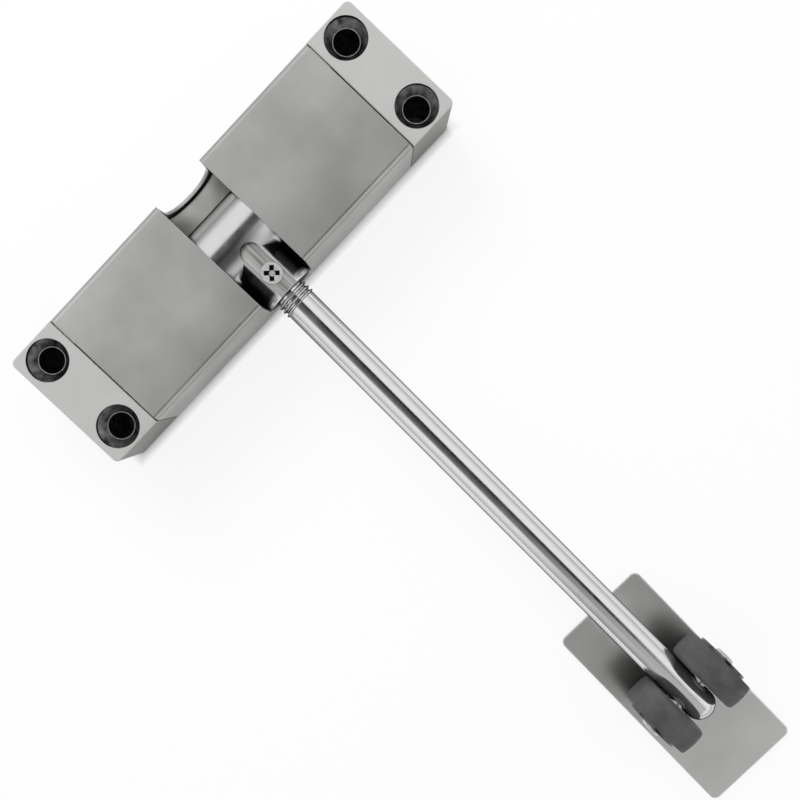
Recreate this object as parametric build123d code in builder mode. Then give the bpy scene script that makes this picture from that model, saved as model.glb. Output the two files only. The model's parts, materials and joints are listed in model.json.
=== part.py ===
from build123d import *
import os
from math import asin, cos, degrees, hypot, radians, sin

# Spring door closer: a housing screwed to the frame, a sprung hub that swings a chromed arm,
# and two nylon rollers at the arm's end that run on a plate stuck to the door.
# Frame: the origin is the centre of the housing's mounting face, +X runs along the housing,
# the arm points towards -Y, and +Z stands out from the mounting face. Sizes are in millimetres.

# Housing: two end blocks and the core between them, one casting
BODY_LENGTH = 140.0
BODY_WIDTH = 41.6
BLOCK_LENGTH = 16.8
BLOCK_HEIGHT = 30.1
BLOCK_CORNER = 1.7
BLOCK_EDGE = 0.5
AXIS_HEIGHT = 19.1
TROUGH_GAP = 0.9
CHANNEL_RADIUS = 10.7
NEAR_CHANNEL_DROP = 1.0
NEAR_CHANNEL_CORNER = 3.0
POCKET_WIDTH = 4.6
POCKET_ROOF = 3.5
POCKET_WALL = 3.0
BELLY_WIDTH = 13.0

# Screw holes through the end blocks
HOLE_INSET_X = 8.1
HOLE_INSET_Y = 7.15
HOLE_SPACING_X = BODY_LENGTH - 2 * HOLE_INSET_X
HOLE_SPACING_Y = BODY_WIDTH - 2 * HOLE_INSET_Y
HOLE_RADIUS = 3.9
SINK_RADIUS = 6.25
SINK_DEPTH = 1.9
SINK_ANGLE = 90.0

# Cover: one folded sheet, with the arm window across its middle
COVER_HEIGHT = 30.6
SHEET = 1.0
SHEET_FIT = 0.1
COVER_BEND = 1.6
COVER_LIFT = 0.2
SEAM = 0.35
WINDOW_WIDTH = 17.9
NEAR_NOTCH_FLOOR = 7.6
NEAR_NOTCH_CORNER = 2.0
TAB_WIDTH = 8.0
TAB_LENGTH = 5.0
TAB_INSET = 7.2
TAB_SPACING = BODY_LENGTH - 2 * (BLOCK_LENGTH + TAB_INSET)
TAB_ROOM = 0.5

# Axle shaft and its lock screws
AXLE_RADIUS = 4.0
AXLE_RECESS = 0.5
AXLE_FIT = 0.03
LOCK_RADIUS = 2.5
LOCK_RECESS = 1.0
LOCK_SOCKET = 2.5

# Hub with the arm's boss
HUB_RADIUS = 10.5
HUB_LENGTH = 38.0
HUB_EDGE = 0.5
BOSS_RADIUS = 8.1
BOSS_REACH = 22.0
BOSS_CHAMFER = 0.3
LAND_WIDTH = 6.4
LAND_START = 4.1
BUSH_RADIUS = 5.5
BUSH_LENGTH = 12.0
BUSH_FIT = 0.02
RUNNING_FIT = 0.05

# Torsion springs of square wire and the collars that hold their outer ends
SPRING_RADIUS = 8.0
SPRING_WIRE = 2.4
SPRING_SPACE = 0.2
SPRING_GAP = 0.15
LEG_LENGTH = 4.0
LEG_FIT = 0.15
COLLAR_RADIUS = 10.2
COLLAR_LENGTH = 7.5
COLLAR_GAP = 0.3
COLLAR_EDGE = 0.5
COLLAR_SCREW_RADIUS = 2.0
COLLAR_SCREW_RECESS = 0.8
COLLAR_SOCKET = 2.0

# Arm rod and the set screw on top of the boss
ROD_RADIUS = 5.0
ROD_SEAT = 8.5
ROD_CHAMFER = 0.8
ARM_REACH = 191.8
TIP_REACH = 9.5
ROD_DOME = 4.4
ARM_SKEW = 1.65
THREAD_FIT = 0.03
THREAD_CORE_RADIUS = 4.6
THREAD_EXPOSED = 4.6
SET_SCREW_RADIUS = 3.25
SET_SCREW_REACH = 15.2
SET_SCREW_PROUD = 0.6
SET_SCREW_EDGE = 0.3
CROSS_SPAN = 4.6
CROSS_WIDTH = 1.35
CROSS_DEPTH = 1.4

# Rollers on their riveted axle
ROLLER_RADIUS = 12.0
ROLLER_WIDTH = 8.75
ROLLER_EDGE = 1.5
ROLLER_CROWN = 0.5
ROLLER_GAP = 0.2
PIN_RADIUS = 2.5
PIN_FIT = 0.02
BUSH_WALL = 1.5
WASHER_RADIUS = 8.2
WASHER_SHEET = 0.85
RIVET_HEAD_RADIUS = 3.2
RIVET_HEAD = 1.2
RIVET_DOME = 1.0

# Wear plate and the adhesive pad under it
PLATE_LENGTH = 71.0
PLATE_WIDTH = 32.5
PLATE_SHEET = 1.2
PLATE_CORNER = 2.1
PLATE_EDGE = 0.3
PLATE_SKEW = 2.4
PLATE_SHIFT_X = -1.7
PLATE_SHIFT_Y = -1.3
PAD_SHEET = 0.8
PAD_INSET = 0.8

# Sizes worked out from those above
core_width = BODY_WIDTH - 2 * (SHEET + SHEET_FIT)
core_height = COVER_HEIGHT - SHEET - SHEET_FIT
block_inner = BODY_LENGTH / 2 - BLOCK_LENGTH
block_centre = (BODY_LENGTH - BLOCK_LENGTH) / 2
trough_radius = HUB_RADIUS + TROUGH_GAP
land_height = BOSS_RADIUS * cos(asin(LAND_WIDTH / 2 / BOSS_RADIUS))
near_channel_floor = NEAR_NOTCH_FLOOR - NEAR_CHANNEL_DROP
inner_bend = COVER_BEND - SHEET
tab_top = COVER_LIFT + SHEET
collar_outer = block_inner - COLLAR_GAP
collar_inner = collar_outer - COLLAR_LENGTH
coil_start = HUB_LENGTH / 2 + SPRING_GAP + SPRING_WIRE / 2
coil_end = collar_inner - SPRING_GAP - SPRING_WIRE / 2
coil_length = coil_end - coil_start
spring_turns = int(coil_length / (SPRING_WIRE + SPRING_SPACE))
leg_hole_radius = hypot(SPRING_WIRE, SPRING_WIRE) / 2 + LEG_FIT
axle_height = PAD_SHEET + PLATE_SHEET + ROLLER_GAP + ROLLER_RADIUS
arm_slope = degrees(asin((AXIS_HEIGHT - axle_height) / (ARM_REACH * cos(radians(ARM_SKEW)))))
roller_inner = ROD_RADIUS + ROLLER_GAP
roller_outer = roller_inner + ROLLER_WIDTH
washer_inner = roller_outer + ROLLER_GAP
washer_outer = washer_inner + WASHER_SHEET
roller_bush_radius = PIN_RADIUS + BUSH_WALL
sides = {"left": -1, "right": 1}

# Planes of the moving parts: the boss is square to the hub, the rod sits a little askew in it
boss_plane = Plane(
    origin=(0, 0, AXIS_HEIGHT),
    x_dir=(1, 0, 0),
    z_dir=(0, -cos(radians(arm_slope)), -sin(radians(arm_slope))),
)
rod_plane = Plane(
    origin=boss_plane.origin,
    x_dir=boss_plane.x_dir * cos(radians(ARM_SKEW)) + boss_plane.z_dir * sin(radians(ARM_SKEW)),
    z_dir=boss_plane.z_dir * cos(radians(ARM_SKEW)) - boss_plane.x_dir * sin(radians(ARM_SKEW)),
)
screw_plane = Plane(
    origin=boss_plane.from_local_coords((0, 0, SET_SCREW_REACH)),
    x_dir=boss_plane.x_dir,
    z_dir=boss_plane.y_dir,
)
pin_plane = Plane(
    origin=rod_plane.from_local_coords((0, 0, ARM_REACH)),
    x_dir=rod_plane.y_dir,
    z_dir=rod_plane.x_dir,
)
roller_section = Plane(
    origin=pin_plane.origin,
    x_dir=pin_plane.z_dir,
    z_dir=pin_plane.z_dir.cross(pin_plane.x_dir),
)
plate_centre = (pin_plane.origin.X + PLATE_SHIFT_X, pin_plane.origin.Y + PLATE_SHIFT_Y, 0)
plate_plane = Plane(origin=plate_centre).rotated((0, 0, -PLATE_SKEW))


def axis_plane(x):
    """The plane square to the hub's axis at x, with its origin on that axis."""
    return Plane(origin=(x, 0, AXIS_HEIGHT), x_dir=(0, 1, 0), z_dir=(1, 0, 0))


def rounded_top(width, base, top, radius):
    """A rectangle that stands on base, with its two upper corners rounded."""
    with BuildSketch() as section:
        with Locations((0, base)):
            Rectangle(width, top - base, align=(Align.CENTER, Align.MIN))
        fillet(section.vertices().group_by(Axis.Y)[-1], radius)
    return section.sketch


def rounded_floor(width, base, top, radius):
    """A rectangle that stands on base, with its two lower corners rounded."""
    with BuildSketch() as section:
        with Locations((0, base)):
            Rectangle(width, top - base, align=(Align.CENTER, Align.MIN))
        fillet(section.vertices().group_by(Axis.Y)[0], radius)
    return section.sketch


def round_floor(radius, centre, top):
    """A slot as wide as its round bottom, open at top."""
    with BuildSketch() as section:
        with Locations((0, centre)):
            Circle(radius)
            Rectangle(2 * radius, top - centre, align=(Align.CENTER, Align.MIN))
    return section.sketch


def ring(plane, outer_radius, inner_radius, length):
    """A plain round ring that stands on plane."""
    with BuildPart() as blank:
        with BuildSketch(plane):
            Circle(outer_radius)
            Circle(inner_radius, mode=Mode.SUBTRACT)
        extrude(amount=length)
    return blank


# Housing casting
with BuildPart() as housing_casting:
    with Locations((-block_centre, 0, 0), (block_centre, 0, 0)):
        Box(BLOCK_LENGTH, BODY_WIDTH, BLOCK_HEIGHT, align=(Align.CENTER, Align.CENTER, Align.MIN))
    upright_edges = housing_casting.edges().filter_by(Axis.Z).group_by(Axis.X)
    fillet(upright_edges[0] + upright_edges[-1], BLOCK_CORNER)
    fillet(housing_casting.faces().filter_by(Axis.Z).group_by(Axis.Z)[-1].edges(), BLOCK_EDGE)
    # Core with the trough that the hub and springs lie in
    with BuildSketch(Plane.YZ):
        add(rounded_top(core_width, 0, core_height, inner_bend))
        add(round_floor(trough_radius, AXIS_HEIGHT, core_height), mode=Mode.SUBTRACT)
    extrude(amount=block_inner, both=True)
    # Cross channel for the arm: half round on the far side, square and deeper on the near side
    with BuildSketch(Plane.XZ):
        add(round_floor(CHANNEL_RADIUS, AXIS_HEIGHT, core_height))
    extrude(amount=-BODY_WIDTH / 2, mode=Mode.SUBTRACT)
    with BuildSketch(Plane.XZ):
        add(rounded_floor(2 * CHANNEL_RADIUS, near_channel_floor, core_height, NEAR_CHANNEL_CORNER))
    extrude(amount=BODY_WIDTH / 2, mode=Mode.SUBTRACT)
    # Axle bore through both end blocks
    with BuildSketch(axis_plane(0)):
        Circle(AXLE_RADIUS + AXLE_FIT)
    extrude(amount=BODY_LENGTH / 2, both=True, mode=Mode.SUBTRACT)
    # Screw holes, sunk below the top of the blocks
    with Locations((0, 0, BLOCK_HEIGHT - SINK_DEPTH)):
        with GridLocations(HOLE_SPACING_X, HOLE_SPACING_Y, 2, 2):
            CounterSinkHole(HOLE_RADIUS, SINK_RADIUS, counter_sink_angle=SINK_ANGLE)
    # Lock screw holes, from the mounting face up to the axle bore
    with Locations((-HOLE_SPACING_X / 2, 0, 0), (HOLE_SPACING_X / 2, 0, 0)):
        Cylinder(
            LOCK_RADIUS + AXLE_FIT,
            AXIS_HEIGHT,
            align=(Align.CENTER, Align.CENTER, Align.MIN),
            mode=Mode.SUBTRACT,
        )
    # Recesses that the cover's tabs fold into
    recess_depth = tab_top + SHEET_FIT
    recess_reach = 2 * (TAB_LENGTH + SHEET_FIT + TAB_ROOM)
    with Locations((0, core_width / 2, recess_depth / 2), (0, -core_width / 2, recess_depth / 2)):
        with GridLocations(TAB_SPACING, 0, 2, 1):
            Box(TAB_WIDTH + 2 * TAB_ROOM, recess_reach, recess_depth, mode=Mode.SUBTRACT)
    # Casting pockets in the underside, beside the trough and under it
    pocket_start = CHANNEL_RADIUS + POCKET_WALL
    pocket_end = TAB_SPACING / 2 - TAB_WIDTH / 2 - TAB_ROOM - POCKET_WALL
    pocket_length = pocket_end - pocket_start
    pocket_height = core_height - POCKET_ROOF
    pocket_spacing_x = pocket_start + pocket_end
    pocket_spacing_y = trough_radius + core_width / 2
    belly_height = AXIS_HEIGHT - trough_radius - POCKET_WALL
    with GridLocations(pocket_spacing_x, pocket_spacing_y, 2, 2):
        Box(
            pocket_length,
            POCKET_WIDTH,
            pocket_height,
            align=(Align.CENTER, Align.CENTER, Align.MIN),
            mode=Mode.SUBTRACT,
        )
    with GridLocations(pocket_spacing_x, 0, 2, 1):
        Box(
            pocket_length,
            BELLY_WIDTH,
            belly_height,
            align=(Align.CENTER, Align.CENTER, Align.MIN),
            mode=Mode.SUBTRACT,
        )

# Cover shell
with BuildPart() as cover_shell:
    with BuildSketch(Plane.YZ):
        add(rounded_top(BODY_WIDTH, COVER_LIFT, COVER_HEIGHT, COVER_BEND))
        inner_width = BODY_WIDTH - 2 * SHEET
        add(rounded_top(inner_width, COVER_LIFT, COVER_HEIGHT - SHEET, inner_bend), mode=Mode.SUBTRACT)
    extrude(amount=block_inner - SEAM, both=True)
    # Arm window: round floor in the far wall, square floor in the near wall
    with BuildSketch(Plane.XZ):
        add(round_floor(WINDOW_WIDTH / 2, AXIS_HEIGHT, COVER_HEIGHT))
    extrude(amount=-BODY_WIDTH / 2, mode=Mode.SUBTRACT)
    with BuildSketch(Plane.XZ):
        add(rounded_floor(WINDOW_WIDTH, NEAR_NOTCH_FLOOR, COVER_HEIGHT, NEAR_NOTCH_CORNER))
    extrude(amount=BODY_WIDTH / 2, mode=Mode.SUBTRACT)
    # Tabs folded under the casting
    tab_reach = SHEET + SHEET_FIT + TAB_LENGTH
    for wall in sides.values():
        with Locations((0, wall * (BODY_WIDTH - tab_reach) / 2, COVER_LIFT + SHEET / 2)):
            with GridLocations(TAB_SPACING, 0, 2, 1):
                Box(TAB_WIDTH, tab_reach, SHEET)

# Axle shaft across the housing
with BuildPart() as axle_shaft:
    with BuildSketch(axis_plane(0)):
        Circle(AXLE_RADIUS)
    extrude(amount=BODY_LENGTH / 2 - AXLE_RECESS, both=True)
    chamfer(axle_shaft.edges().filter_by(GeomType.CIRCLE), AXLE_RECESS)

# Lock screws that hold the axle, with a hexagon socket underneath
with BuildPart() as axle_lock_screws:
    lock_top = AXIS_HEIGHT - AXLE_RADIUS - AXLE_FIT
    with BuildSketch(Plane.XY.offset(LOCK_RECESS)):
        with GridLocations(HOLE_SPACING_X, 0, 2, 1):
            Circle(LOCK_RADIUS)
    extrude(amount=lock_top - LOCK_RECESS)
    with BuildSketch(Plane.XY.offset(LOCK_RECESS)):
        with GridLocations(HOLE_SPACING_X, 0, 2, 1):
            RegularPolygon(LOCK_RADIUS / 2, 6)
    extrude(amount=LOCK_SOCKET, mode=Mode.SUBTRACT)

# Hub with the boss that holds the arm
with BuildPart() as arm_hub:
    with BuildSketch(axis_plane(0)):
        Circle(HUB_RADIUS)
    extrude(amount=HUB_LENGTH / 2, both=True)
    chamfer(arm_hub.edges().filter_by(GeomType.CIRCLE), HUB_EDGE)
    # Round boss with a flat land along its top
    with BuildSketch(boss_plane):
        Circle(BOSS_RADIUS)
        with Locations((0, land_height)):
            Rectangle(
                2 * BOSS_RADIUS,
                BOSS_RADIUS,
                align=(Align.CENTER, Align.MIN),
                mode=Mode.SUBTRACT,
            )
    extrude(amount=BOSS_REACH)
    chamfer(arm_hub.faces().sort_by(Axis.Y)[0].edges(), BOSS_CHAMFER)
    # The land runs on into the hub, where the cutter leaves a round end
    land_end = SET_SCREW_REACH - LAND_START - LAND_WIDTH / 2
    with BuildSketch(screw_plane.offset(land_height)):
        with Locations((0, land_end)):
            Circle(LAND_WIDTH / 2)
            Rectangle(LAND_WIDTH, land_end + BOSS_REACH - SET_SCREW_REACH, align=(Align.CENTER, Align.MAX))
    extrude(amount=HUB_RADIUS - land_height, mode=Mode.SUBTRACT)
    # Bore for the bushes, hole for the rod and hole for the set screw
    with BuildSketch(axis_plane(0)):
        Circle(BUSH_RADIUS + BUSH_FIT)
    extrude(amount=HUB_LENGTH / 2, both=True, mode=Mode.SUBTRACT)
    with BuildSketch(rod_plane.offset(ROD_SEAT)):
        Circle(ROD_RADIUS + THREAD_FIT)
    extrude(amount=BOSS_REACH, mode=Mode.SUBTRACT)
    with BuildSketch(screw_plane):
        Circle(SET_SCREW_RADIUS + THREAD_FIT)
    extrude(amount=HUB_RADIUS, mode=Mode.SUBTRACT)
    # Holes for the springs' inner legs
    for side in sides.values():
        with BuildSketch(axis_plane(side * HUB_LENGTH / 2)):
            with Locations((0, SPRING_RADIUS)):
                Circle(leg_hole_radius)
        extrude(amount=-side * (LEG_LENGTH + LEG_FIT), mode=Mode.SUBTRACT)


def hub_bush(side):
    """A plain bush in one end of the hub."""
    hub_end = axis_plane(side * HUB_LENGTH / 2)
    return ring(hub_end, BUSH_RADIUS, AXLE_RADIUS + RUNNING_FIT, -side * BUSH_LENGTH)


def anchor_collar(side):
    """A collar on the axle, with a hole for the spring's outer leg and one for its set screw."""
    inner_face = axis_plane(side * collar_inner)
    with BuildPart() as collar:
        with BuildSketch(inner_face):
            Circle(COLLAR_RADIUS)
        extrude(amount=side * COLLAR_LENGTH)
        chamfer(collar.edges().filter_by(GeomType.CIRCLE), COLLAR_EDGE)
        with BuildSketch(inner_face):
            Circle(AXLE_RADIUS + AXLE_FIT)
        extrude(amount=side * COLLAR_LENGTH, mode=Mode.SUBTRACT)
        with BuildSketch(inner_face):
            with Locations((0, SPRING_RADIUS)):
                Circle(leg_hole_radius)
        extrude(amount=side * (LEG_LENGTH + LEG_FIT), mode=Mode.SUBTRACT)
        with BuildSketch(collar_screw_plane(side)):
            Circle(COLLAR_SCREW_RADIUS + AXLE_FIT)
        extrude(amount=COLLAR_RADIUS, mode=Mode.SUBTRACT)
    return collar


def collar_screw_plane(side):
    """The plane on the axle's axis from which a collar's set screw points out and away."""
    middle = side * (collar_inner + collar_outer) / 2
    return Plane(origin=(middle, 0, AXIS_HEIGHT), x_dir=(1, 0, 0), z_dir=(0, 1, 0))


hub_bush_left = hub_bush(sides["left"])
hub_bush_right = hub_bush(sides["right"])
collar_left = anchor_collar(sides["left"])
collar_right = anchor_collar(sides["right"])

# Right spring: a coil of square wire between hub and collar, with a straight leg in each
with BuildPart() as spring_right:
    with BuildLine() as coil:
        Helix(
            pitch=coil_length / spring_turns,
            height=coil_length,
            radius=SPRING_RADIUS,
            center=(coil_start, 0, AXIS_HEIGHT),
            direction=(1, 0, 0),
        )
    with BuildSketch(Plane(origin=coil.line @ 0, x_dir=(1, 0, 0), z_dir=coil.line % 0)):
        Rectangle(SPRING_WIRE, SPRING_WIRE)
    sweep(path=coil.line, is_frenet=True)
    hub_leg = (coil_start, HUB_LENGTH / 2 - LEG_LENGTH)
    collar_leg = (coil_end, collar_inner + LEG_LENGTH)
    for wire_end, leg_end in (hub_leg, collar_leg):
        with Locations(((leg_end + wire_end) / 2, 0, AXIS_HEIGHT + SPRING_RADIUS)):
            Box(abs(leg_end - wire_end), SPRING_WIRE, SPRING_WIRE)

# Left spring: wound the other way, so that both springs turn the arm alike
with BuildPart() as spring_left:
    mirror(spring_right.part, about=Plane.YZ)

# Set screws of the two collars, with a hexagon socket at the outer end
with BuildPart() as collar_set_screws:
    collar_screw_start = AXLE_RADIUS + AXLE_FIT
    collar_screw_end = COLLAR_RADIUS - COLLAR_SCREW_RECESS
    for side in sides.values():
        with BuildSketch(collar_screw_plane(side).offset(collar_screw_start)):
            Circle(COLLAR_SCREW_RADIUS)
        extrude(amount=collar_screw_end - collar_screw_start)
        with BuildSketch(collar_screw_plane(side).offset(collar_screw_end)):
            RegularPolygon(COLLAR_SCREW_RADIUS / 2, 6)
        extrude(amount=-COLLAR_SOCKET, mode=Mode.SUBTRACT)

# Arm rod, screwed into the boss and domed at its end
with BuildPart() as arm_rod:
    with BuildSketch(rod_plane.offset(ROD_SEAT)):
        Circle(ROD_RADIUS)
    extrude(amount=ARM_REACH + TIP_REACH - ROD_SEAT)
    fillet(arm_rod.faces().sort_by(Axis.Y)[0].edges(), ROD_DOME)
    chamfer(arm_rod.faces().sort_by(Axis.Y)[-1].edges(), ROD_CHAMFER)
    with BuildSketch(pin_plane):
        Circle(PIN_RADIUS + PIN_FIT)
    extrude(amount=ROD_RADIUS, both=True, mode=Mode.SUBTRACT)
    # Core of the thread where it shows between the boss and the plain part
    with BuildSketch(rod_plane.offset(BOSS_REACH)):
        Circle(ROD_RADIUS)
        Circle(THREAD_CORE_RADIUS, mode=Mode.SUBTRACT)
    extrude(amount=THREAD_EXPOSED, mode=Mode.SUBTRACT)

# Set screw that locks the rod, with a cross recess turned between the arm's directions
with BuildPart() as arm_set_screw:
    set_screw_start = ROD_RADIUS + THREAD_FIT
    set_screw_end = land_height + SET_SCREW_PROUD
    with BuildSketch(screw_plane.offset(set_screw_start)):
        Circle(SET_SCREW_RADIUS)
    extrude(amount=set_screw_end - set_screw_start)
    fillet(arm_set_screw.faces().sort_by(Axis.Z)[-1].edges(), SET_SCREW_EDGE)
    with BuildSketch(screw_plane.offset(set_screw_end)):
        Rectangle(CROSS_SPAN, CROSS_WIDTH, rotation=45)
        Rectangle(CROSS_SPAN, CROSS_WIDTH, rotation=-45)
    extrude(amount=-CROSS_DEPTH, mode=Mode.SUBTRACT)

# Roller axle: a rivet through the rod with a domed head at each end
with BuildPart() as roller_axle:
    with BuildSketch(pin_plane):
        Circle(PIN_RADIUS)
    extrude(amount=washer_outer, both=True)
    for side in sides.values():
        with BuildSketch(pin_plane.offset(side * washer_outer)):
            Circle(RIVET_HEAD_RADIUS)
        extrude(amount=side * RIVET_HEAD)
    head_faces = roller_axle.faces().filter_by(GeomType.PLANE).sort_by(Axis.X)
    fillet(head_faces[0].edges() + head_faces[-1].edges(), RIVET_DOME)


def roller(side):
    """A nylon roller with a crowned tread and rounded edges that turns on its bush."""
    bore_radius = roller_bush_radius + RUNNING_FIT
    rim_radius = ROLLER_RADIUS - ROLLER_CROWN
    inner, outer = side * roller_inner, side * roller_outer
    with BuildPart() as wheel:
        with BuildSketch(roller_section):
            with BuildLine():
                Polyline((inner, rim_radius), (inner, bore_radius), (outer, bore_radius), (outer, rim_radius))
                ThreePointArc((inner, rim_radius), ((inner + outer) / 2, ROLLER_RADIUS), (outer, rim_radius))
            make_face()
        revolve(axis=Axis(pin_plane.origin, pin_plane.z_dir))
        fillet(wheel.edges().filter_by(GeomType.CIRCLE).sort_by(SortBy.RADIUS)[-2:], ROLLER_EDGE)
    return wheel


def roller_bush(side):
    """A steel bush on the axle, from the rod to the outer washer."""
    bush_inner = ROD_RADIUS + PIN_FIT
    bush_length = side * (washer_inner - bush_inner)
    return ring(pin_plane.offset(side * bush_inner), roller_bush_radius, PIN_RADIUS + PIN_FIT, bush_length)


def outer_washer(side):
    """A thin washer between roller and rivet head."""
    inner_face = pin_plane.offset(side * washer_inner)
    return ring(inner_face, WASHER_RADIUS, PIN_RADIUS + PIN_FIT, side * WASHER_SHEET)


roller_left = roller(sides["left"])
roller_right = roller(sides["right"])
roller_bush_left = roller_bush(sides["left"])
roller_bush_right = roller_bush(sides["right"])
outer_washer_left = outer_washer(sides["left"])
outer_washer_right = outer_washer(sides["right"])

# Wear plate
with BuildPart() as wear_plate:
    with BuildSketch(plate_plane.offset(PAD_SHEET)):
        RectangleRounded(PLATE_WIDTH, PLATE_LENGTH, PLATE_CORNER)
    extrude(amount=PLATE_SHEET)
    fillet(wear_plate.faces().sort_by(Axis.Z)[-1].edges(), PLATE_EDGE)

# Adhesive pad
with BuildPart() as adhesive_pad:
    with BuildSketch(plate_plane):
        RectangleRounded(PLATE_WIDTH - 2 * PAD_INSET, PLATE_LENGTH - 2 * PAD_INSET, PLATE_CORNER)
    extrude(amount=PAD_SHEET)

# One file for each piece
pieces = {
    "housing_casting": housing_casting,
    "cover_shell": cover_shell,
    "axle_shaft": axle_shaft,
    "axle_lock_screws": axle_lock_screws,
    "arm_hub": arm_hub,
    "hub_bush_left": hub_bush_left,
    "hub_bush_right": hub_bush_right,
    "spring_left": spring_left,
    "spring_right": spring_right,
    "collar_left": collar_left,
    "collar_right": collar_right,
    "collar_set_screws": collar_set_screws,
    "arm_rod": arm_rod,
    "arm_set_screw": arm_set_screw,
    "roller_axle": roller_axle,
    "roller_left": roller_left,
    "roller_right": roller_right,
    "roller_bush_left": roller_bush_left,
    "roller_bush_right": roller_bush_right,
    "outer_washer_left": outer_washer_left,
    "outer_washer_right": outer_washer_right,
    "wear_plate": wear_plate,
    "adhesive_pad": adhesive_pad,
}
os.makedirs("parts", exist_ok=True)
for name, piece in pieces.items():
    piece.part.label = name
    export_step(piece.part, f"parts/{name}.step")

print(f"arm slope {arm_slope:.3f} degrees, roller axle at {pin_plane.origin}")
print(f"roller axle direction {pin_plane.z_dir}, plate centre {plate_centre}")
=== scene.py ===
# %% [markdown]
# # A spring door closer, dressed around its imported model
# The closer is a sprung hub in a satin housing, with a chromed arm whose two nylon rollers run
# on a plate that is stuck to the door. Every solid piece is already in the imported model, in metres
# and in its own place. This lesson loads it, lights it as a studio would, gives each piece the
# finish of the real one, adds two small forms that were left to Blender, a few turns of thread and
# the bright rims of the screw holes, and puts a copy in place of each of the two springs.

# %% Load the model and keep its box
import json
import math

import bmesh
import bpy
from mathutils import Matrix, Vector


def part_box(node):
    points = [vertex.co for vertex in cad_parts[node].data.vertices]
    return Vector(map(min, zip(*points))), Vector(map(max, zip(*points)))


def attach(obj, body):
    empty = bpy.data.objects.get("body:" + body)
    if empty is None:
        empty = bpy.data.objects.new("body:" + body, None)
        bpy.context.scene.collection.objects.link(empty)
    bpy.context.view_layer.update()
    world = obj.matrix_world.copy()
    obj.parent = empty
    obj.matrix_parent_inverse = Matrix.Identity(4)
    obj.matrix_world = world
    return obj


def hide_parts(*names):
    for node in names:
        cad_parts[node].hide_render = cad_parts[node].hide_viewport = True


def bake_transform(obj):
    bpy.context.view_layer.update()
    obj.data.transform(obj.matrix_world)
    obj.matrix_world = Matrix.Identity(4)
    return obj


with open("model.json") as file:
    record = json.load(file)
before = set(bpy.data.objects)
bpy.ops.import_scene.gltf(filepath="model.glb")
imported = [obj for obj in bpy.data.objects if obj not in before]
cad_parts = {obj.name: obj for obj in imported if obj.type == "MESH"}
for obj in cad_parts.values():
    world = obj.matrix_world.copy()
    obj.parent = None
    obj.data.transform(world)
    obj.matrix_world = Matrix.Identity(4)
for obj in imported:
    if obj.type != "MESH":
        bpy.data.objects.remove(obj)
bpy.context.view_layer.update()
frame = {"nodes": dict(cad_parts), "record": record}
scene = bpy.context.scene
scene.view_settings.view_transform = "Standard"

# %% [markdown]
# ## Camera
# The photograph looks almost straight down on the closer, with the arm running to the lower right.
# The place, turn and lens below were worked out from points that can be named on the object: the
# corners of the housing, its screw holes and the corners of the plate. The picture was cropped off
# its centre, and the two shift values stand for that crop. They are held smaller than a free fit
# would have them, and the points then lie about a pixel from where they should on average.

# %% Camera at the photograph's angle
PHOTO_LENS = 47.846
PHOTO_PLACE = (0.00266, -0.05731, 0.33253)
PHOTO_TURN = (-3.158, 0.461, -46.567)
PHOTO_SHIFT = (0.0301, 0.0322)
CLIP_START = 0.01

camera_data = bpy.data.cameras.new("photo_camera")
camera_data.lens = PHOTO_LENS
camera_data.shift_x, camera_data.shift_y = PHOTO_SHIFT
camera_data.clip_start = CLIP_START
camera = bpy.data.objects.new("photo_camera", camera_data)
camera.location = PHOTO_PLACE
camera.rotation_euler = [math.radians(turn) for turn in PHOTO_TURN]
scene.collection.objects.link(camera)
scene.camera = camera
print(f"camera {1000 * camera.location.z:.0f} mm above the mounting face")

# %% [markdown]
# ## One way to write colours and nodes
# Colours are read off as sRGB hex values, but shaders work in linear light, so one function turns
# one into the other. A second function adds a node, with its settings and links in one call.
# Some sockets of a Mix node share their names, so those are given by their numbers. All
# patterns below are sized in millimetres: `per_mm` turns such a size into a texture scale.

# %% Colour, scale and node helpers
VALUE_A, VALUE_B = 2, 3
COLOUR_A, COLOUR_B, COLOUR_OUT = 6, 7, 2


def linear(hex_colour):
    """An sRGB hex colour as a linear RGBA tuple, by the curve that defines sRGB."""
    channels = [int(hex_colour[i:i + 2], 16) / 255 for i in (1, 3, 5)]
    lit = [c / 12.92 if c <= 0.04045 else ((c + 0.055) / 1.055) ** 2.4 for c in channels]
    return (*lit, 1.0)


def per_mm(size):
    """The scale of a texture whose features are about this many millimetres across."""
    return 1000.0 / size


def node(tree, kind, sockets=None, **settings):
    """Adds a node. A socket is given a value, or another node's output to link."""
    made = tree.nodes.new(kind)
    for name, value in settings.items():
        setattr(made, name, value)
    for name, value in (sockets or {}).items():
        if isinstance(value, bpy.types.NodeSocket):
            tree.links.new(value, made.inputs[name])
        else:
            made.inputs[name].default_value = value
    return made


print("mid grey is", [round(c, 3) for c in linear("#808080")])

# %% [markdown]
# ## Studio
# Polished metal shows the room more than itself. Down the top of the chromed rod runs a dark
# stripe, and a dark band crosses the hub: both are the opening overhead that the camera looks
# through, in an otherwise white tent. Near the rollers the rod's left half turns grey and the
# stripe narrows to a line, so a grey panel hangs on the arm's side of the opening, and the opening
# reaches past its edge in a narrow tail. Lamps alone could not give these, so the world is the
# tent. A place in the tent is given by the X and Y of the direction in which it lies.

# %% Patches of the tent
OPENING_X = (-0.66, -0.42, 0.31, 0.38)
OPENING_Y = (-0.44, -0.20, 0.10, 0.205)
TAIL_X = (-0.08, 0.06, 0.27, 0.35)
TAIL_Y = (-0.46, -0.36, -0.30, -0.20)
PANEL_X = (-1.2, -1.1, 0.06, 0.20)
PANEL_Y = (-0.78, -0.60, -0.30, -0.20)

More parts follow.
